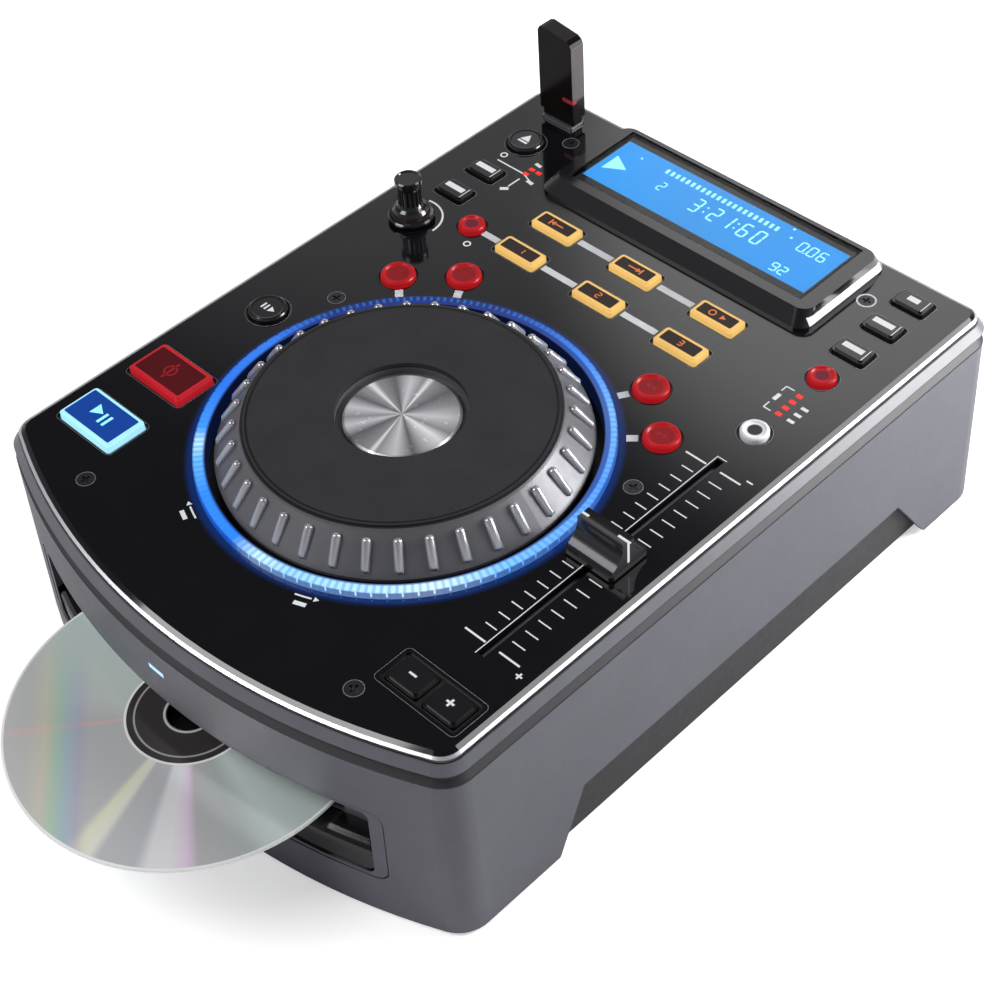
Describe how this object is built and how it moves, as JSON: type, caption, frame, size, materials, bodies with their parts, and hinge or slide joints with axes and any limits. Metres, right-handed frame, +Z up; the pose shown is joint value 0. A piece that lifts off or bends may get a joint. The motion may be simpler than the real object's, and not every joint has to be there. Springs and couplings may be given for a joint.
{
  "type": "tabletop DJ disc player",
  "caption": "Tabletop DJ disc player with slot drive, jog wheel with lit ring, pitch fader, lit loop and cue buttons, blue display and a memory stick in its top port.",
  "frame": {"origin": "on the table below the middle of the housing, in the plane of the four rubber feet", "axes": "+Z up, -Y towards the user and the disc slot, +X to the user's right, where the pitch fader is"},
  "size_m": [0.215, 0.3441, 0.1251],
  "materials": {
    "housing_grey": "satin grey moulding",
    "tray_black": "matte black",
    "rim_grey": "satin grey moulding",
    "plate_black": "high-gloss black",
    "hood_black": "high-gloss black",
    "window_clear": "clear gloss",
    "display_blue": "backlit blue",
    "ring_blue": "lit translucent",
    "inner_black": "matte black",
    "jog_silver": "silver paint",
    "pad_soft": "fine matte",
    "spun_metal": "spun",
    "steel_sheet": "zinc-plated",
    "knob_black": "gloss black",
    "board_green": "solder mask",
    "supply_parts": "moulded parts",
    "roller_rubber": "matte",
    "jack_metal": "plated",
    "foot_rubber": "matte",
    "screw_black": "black oxide",
    "lens_red": "lit lens",
    "disc_mirror": "iridescent mirror",
    "stick_gloss": "gloss black",
    "button_blue": "lit blue",
    "button_red": "lit red",
    "button_black": "satin black",
    "button_amber": "lit amber",
    "button_white": "satin white"
  },
  "bodies": {
    "housing": {"case_shell": "housing_grey", "bottom_tray": "tray_black", "top_frame": "rim_grey", "top_plate": "plate_black", "display_hood": "hood_black", "display_window": "window_clear", "display_module": "display_blue", "light_ring": "ring_blue", "jog_base": "inner_black", "fader_track": "steel_sheet", "encoder_body": "steel_sheet", "usb_socket": "steel_sheet", "control_board": "board_green", "main_board": "board_green", "power_supply": "supply_parts", "drive_chassis": "steel_sheet", "rear_jacks": "jack_metal", "power_entry": "inner_black", "rubber_feet": "foot_rubber", "case_screws": "screw_black", "indicator_leds": "lens_red"},
    "jog_wheel": {"jog_platter": "jog_silver", "jog_pad": "pad_soft", "jog_hub_cap": "spun_metal"},
    "fader": {"fader_cap": "knob_black"},
    "encoder_shaft": {"encoder_shaft": "steel_sheet"},
    "track_knob": {"track_knob": "knob_black"},
    "feed_roller": {"feed_roller": "roller_rubber"},
    "traverse": {"traverse_plate": "steel_sheet", "spindle_motor": "steel_sheet"},
    "spindle": {"spindle_hub": "inner_black"},
    "laser_sled": {"laser_sled": "inner_black"},
    "disc_clamp": {"disc_clamp": "inner_black"},
    "power_rocker": {"power_switch": "inner_black"},
    "disc": {"compact_disc": "disc_mirror"},
    "usb_stick": {"usb_stick": "stick_gloss"},
    "play_button": {"play_button": "button_blue"},
    "cue_button": {"cue_button": "button_red"},
    "stutter_button": {"stutter_button": "button_black"},
    "eject_button": {"eject_button": "button_black"},
    "time_button": {"time_button": "button_black"},
    "program_button": {"program_button": "button_black"},
    "reverse_button": {"reverse_button": "button_red"},
    "effect_button_1": {"effect_button_1": "button_red"},
    "effect_button_2": {"effect_button_2": "button_red"},
    "search_button_1": {"search_button_1": "button_red"},
    "search_button_2": {"search_button_2": "button_red"},
    "loop_in_button": {"loop_in_button": "button_amber"},
    "loop_out_button": {"loop_out_button": "button_amber"},
    "reloop_button": {"reloop_button": "button_amber"},
    "cue_point_1": {"cue_point_1": "button_amber"},
    "cue_point_2": {"cue_point_2": "button_amber"},
    "cue_point_3": {"cue_point_3": "button_amber"},
    "mode_button_1": {"mode_button_1": "button_black"},
    "mode_button_2": {"mode_button_2": "button_black"},
    "mode_button_3": {"mode_button_3": "button_black"},
    "key_lock_button": {"key_lock_button": "button_red"},
    "pitch_range_button": {"pitch_range_button": "button_white"},
    "bend_minus_button": {"bend_minus_button": "button_black"},
    "bend_plus_button": {"bend_plus_button": "button_black"}
  },
  "joints": [
    {"name": "jog_turn", "type": "hinge", "parent": "housing", "child": "jog_wheel", "pos_m": [0, -0.0346, 0.09], "axis": [0, 0, 1], "continuous": true},
    {"name": "fader_slide", "type": "slide", "parent": "housing", "child": "fader", "axis": [0, 1, 0], "range_m": [-0.05, 0.05]},
    {"name": "knob_push", "type": "slide", "parent": "housing", "child": "encoder_shaft", "axis": [0, 0, -1], "range_m": [0, 0.0009], "stiffness_N_per_m": 1200},
    {"name": "knob_turn", "type": "hinge", "parent": "encoder_shaft", "child": "track_knob", "pos_m": [-0.0824, 0.0471, 0.09], "axis": [0, 0, 1], "continuous": true},
    {"name": "disc_load", "type": "slide", "parent": "housing", "child": "disc", "axis": [0, 1, 0], "range_m": [-0.072, 0.0778]},
    {"name": "roller_turn", "type": "hinge", "parent": "housing", "child": "feed_roller", "pos_m": [0, -0.109, 0.0302], "axis": [1, 0, 0], "continuous": true},
    {"name": "traverse_lift", "type": "slide", "parent": "housing", "child": "traverse", "axis": [0, 0, 1], "range_m": [0, 0.0037]},
    {"name": "spindle_turn", "type": "hinge", "parent": "traverse", "child": "spindle", "pos_m": [0, -0.057, 0.028], "axis": [0, 0, 1], "continuous": true},
    {"name": "clamp_turn", "type": "hinge", "parent": "housing", "child": "disc_clamp", "pos_m": [0, -0.057, 0.044], "axis": [0, 0, 1], "continuous": true},
    {"name": "sled_travel", "type": "slide", "parent": "traverse", "child": "laser_sled", "axis": [0, 1, 0], "range_m": [0, 0.035]},
    {"name": "rocker_tilt", "type": "hinge", "parent": "housing", "child": "power_rocker", "pos_m": [0.036, 0.13959, 0.047], "axis": [1, 0, 0], "range_deg": [-16, 0]},
    {"name": "stick_pull", "type": "slide", "parent": "housing", "child": "usb_stick", "axis": [0, 0, 1], "range_m": [0, 0.03]},
    {"name": "play_press", "type": "slide", "parent": "housing", "child": "play_button", "axis": [0, 0, -1], "range_m": [0, 0.001], "stiffness_N_per_m": 1200},
    {"name": "cue_press", "type": "slide", "parent": "housing", "child": "cue_button", "axis": [0, 0, -1], "range_m": [0, 0.001], "stiffness_N_per_m": 1200},
    {"name": "stutter_press", "type": "slide", "parent": "housing", "child": "stutter_button", "axis": [0, 0, -1], "range_m": [0, 0.001], "stiffness_N_per_m": 1200},
    {"name": "eject_press", "type": "slide", "parent": "housing", "child": "eject_button", "axis": [0, 0, -1], "range_m": [0, 0.001], "stiffness_N_per_m": 1200},
    {"name": "time_press", "type": "slide", "parent": "housing", "child": "time_button", "axis": [0, 0, -1], "range_m": [0, 0.001], "stiffness_N_per_m": 1200},
    {"name": "program_press", "type": "slide", "parent": "housing", "child": "program_button", "axis": [0, 0, -1], "range_m": [0, 0.001], "stiffness_N_per_m": 1200},
    {"name": "reverse_press", "type": "slide", "parent": "housing", "child": "reverse_button", "axis": [0, 0, -1], "range_m": [0, 0.001], "stiffness_N_per_m": 1200},
    {"name": "effect_1_press", "type": "slide", "parent": "housing", "child": "effect_button_1", "axis": [0, 0, -1], "range_m": [0, 0.001], "stiffness_N_per_m": 1200},
    {"name": "effect_2_press", "type": "slide", "parent": "housing", "child": "effect_button_2", "axis": [0, 0, -1], "range_m": [0, 0.001], "stiffness_N_per_m": 1200},
    {"name": "search_1_press", "type": "slide", "parent": "housing", "child": "search_button_1", "axis": [0, 0, -1], "range_m": [0, 0.001], "stiffness_N_per_m": 1200},
    {"name": "search_2_press", "type": "slide", "parent": "housing", "child": "search_button_2", "axis": [0, 0, -1], "range_m": [0, 0.001], "stiffness_N_per_m": 1200},
    {"name": "loop_in_press", "type": "slide", "parent": "housing", "child": "loop_in_button", "axis": [0, 0, -1], "range_m": [0, 0.001], "stiffness_N_per_m": 1200},
    {"name": "loop_out_press", "type": "slide", "parent": "housing", "child": "loop_out_button", "axis": [0, 0, -1], "range_m": [0, 0.001], "stiffness_N_per_m": 1200},
    {"name": "reloop_press", "type": "slide", "parent": "housing", "child": "reloop_button", "axis": [0, 0, -1], "range_m": [0, 0.001], "stiffness_N_per_m": 1200},
    {"name": "cue_point_1_press", "type": "slide", "parent": "housing", "child": "cue_point_1", "axis": [0, 0, -1], "range_m": [0, 0.001], "stiffness_N_per_m": 1200},
    {"name": "cue_point_2_press", "type": "slide", "parent": "housing", "child": "cue_point_2", "axis": [0, 0, -1], "range_m": [0, 0.001], "stiffness_N_per_m": 1200},
    {"name": "cue_point_3_press", "type": "slide", "parent": "housing", "child": "cue_point_3", "axis": [0, 0, -1], "range_m": [0, 0.001], "stiffness_N_per_m": 1200},
    {"name": "mode_1_press", "type": "slide", "parent": "housing", "child": "mode_button_1", "axis": [0, 0, -1], "range_m": [0, 0.001], "stiffness_N_per_m": 1200},
    {"name": "mode_2_press", "type": "slide", "parent": "housing", "child": "mode_button_2", "axis": [0, 0, -1], "range_m": [0, 0.001], "stiffness_N_per_m": 1200},
    {"name": "mode_3_press", "type": "slide", "parent": "housing", "child": "mode_button_3", "axis": [0, 0, -1], "range_m": [0, 0.001], "stiffness_N_per_m": 1200},
    {"name": "key_lock_press", "type": "slide", "parent": "housing", "child": "key_lock_button", "axis": [0, 0, -1], "range_m": [0, 0.001], "stiffness_N_per_m": 1200},
    {"name": "pitch_range_press", "type": "slide", "parent": "housing", "child": "pitch_range_button", "axis": [0, 0, -1], "range_m": [0, 0.001], "stiffness_N_per_m": 1200},
    {"name": "bend_minus_press", "type": "slide", "parent": "housing", "child": "bend_minus_button", "axis": [0, 0, -1], "range_m": [0, 0.001], "stiffness_N_per_m": 1200},
    {"name": "bend_plus_press", "type": "slide", "parent": "housing", "child": "bend_plus_button", "axis": [0, 0, -1], "range_m": [0, 0.001], "stiffness_N_per_m": 1200}
  ],
  "couplings": [
    {"joint": "roller_turn", "follows": "disc_load", "rad_per_m": -200},
    {"joint": "clamp_turn", "follows": "spindle_turn", "ratio": 1}
  ]
}
